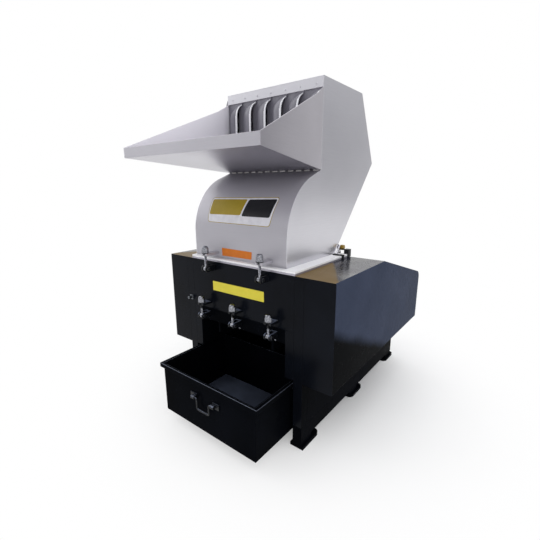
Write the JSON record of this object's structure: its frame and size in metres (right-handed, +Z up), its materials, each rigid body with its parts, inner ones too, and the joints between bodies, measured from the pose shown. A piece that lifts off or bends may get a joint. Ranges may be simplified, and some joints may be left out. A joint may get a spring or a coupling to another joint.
{
  "type": "plastics granulator",
  "caption": "Plastics granulator: stainless feed hopper with tray and curtain, painted body with side housings, swing bolts, and a collecting drawer drawn out.",
  "frame": {"origin": "centre of the four corner anchor holes, on the floor", "axes": "+Z up, -Y towards the operator and the drawer, +X towards the belt drive housing, the operator's right"},
  "size_m": [1.15, 1.648, 1.8583],
  "materials": {
    "body_paint": "blue-black gloss enamel",
    "stainless": "brushed stainless sheet",
    "flange_steel": "machined steel",
    "zinc": "bright zinc plate",
    "yellow_zinc": "yellow-passivated zinc",
    "black_steel": "black enamel",
    "curtain": "grey flexible PVC"
  },
  "bodies": {
    "machine": {"base_frame": "body_paint", "chamber_back_wall": "body_paint", "chamber_flange": "flange_steel", "cradle_bolt_brackets": "black_steel", "cradle_bolt_pins": "zinc", "curtain_strips": "curtain", "deck_plate": "body_paint", "drawer_runners": "body_paint", "feed_tray": "stainless", "flange_clip": "black_steel", "front_plate": "body_paint", "front_plate_ears": "black_steel", "hinge_arms": "stainless", "hinge_blocks": "black_steel", "hinge_pins": "yellow_zinc", "hopper_back": "stainless", "hopper_flange": "stainless", "hopper_front": "stainless", "hopper_header": "stainless", "hopper_left_side": "stainless", "hopper_lugs": "stainless", "hopper_right_side": "stainless", "hopper_roof": "stainless", "left_chamber_cheek": "body_paint", "left_feet": "body_paint", "left_flywheel_housing": "body_paint", "left_front_post": "body_paint", "left_side_wall": "body_paint", "post_knob": "zinc", "rear_cover": "body_paint", "rear_panel": "body_paint", "right_chamber_cheek": "body_paint", "right_drive_housing": "body_paint", "right_feet": "body_paint", "right_front_post": "body_paint", "right_side_wall": "body_paint", "rotor": "flange_steel", "screen": "flange_steel", "screen_cradle": "body_paint", "tray_left_wing": "stainless", "tray_right_wing": "stainless", "upper_bolt_brackets": "black_steel", "upper_bolt_pins": "zinc"},
    "drawer": {"drawer_tub": "body_paint", "drawer_front": "body_paint", "drawer_rim": "body_paint", "handle_mounts": "black_steel"},
    "handle": {"handle_bail": "black_steel"},
    "upper_swing_bolt_left": {"upper_swing_bolt_left": "zinc"},
    "upper_swing_bolt_right": {"upper_swing_bolt_right": "zinc"},
    "cradle_swing_bolt_left": {"cradle_swing_bolt_left": "zinc"},
    "cradle_swing_bolt_middle": {"cradle_swing_bolt_middle": "zinc"},
    "cradle_swing_bolt_right": {"cradle_swing_bolt_right": "zinc"}
  },
  "joints": [
    {"name": "drawer_slide", "type": "slide", "parent": "machine", "child": "drawer", "axis": [0, -1, 0], "range_m": [-0.27, 0.13]},
    {"name": "handle_swing", "type": "hinge", "parent": "drawer", "child": "handle", "pos_m": [0, -1.016, 0.263], "axis": [-1, 0, 0], "range_deg": [0, 150]},
    {"name": "upper_swing_bolt_left_swing", "type": "hinge", "parent": "machine", "child": "upper_swing_bolt_left", "pos_m": [-0.193, -0.78, 0.89], "axis": [1, 0, 0], "range_deg": [0, 165]},
    {"name": "upper_swing_bolt_right_swing", "type": "hinge", "parent": "machine", "child": "upper_swing_bolt_right", "pos_m": [0.193, -0.78, 0.89], "axis": [1, 0, 0], "range_deg": [0, 165]},
    {"name": "cradle_swing_bolt_left_swing", "type": "hinge", "parent": "machine", "child": "cradle_swing_bolt_left", "pos_m": [-0.245, -0.78, 0.604], "axis": [1, 0, 0], "range_deg": [0, 165]},
    {"name": "cradle_swing_bolt_middle_swing", "type": "hinge", "parent": "machine", "child": "cradle_swing_bolt_middle", "pos_m": [0, -0.78, 0.604], "axis": [1, 0, 0], "range_deg": [0, 165]},
    {"name": "cradle_swing_bolt_right_swing", "type": "hinge", "parent": "machine", "child": "cradle_swing_bolt_right", "pos_m": [0.245, -0.78, 0.604], "axis": [1, 0, 0], "range_deg": [0, 165]}
  ]
}
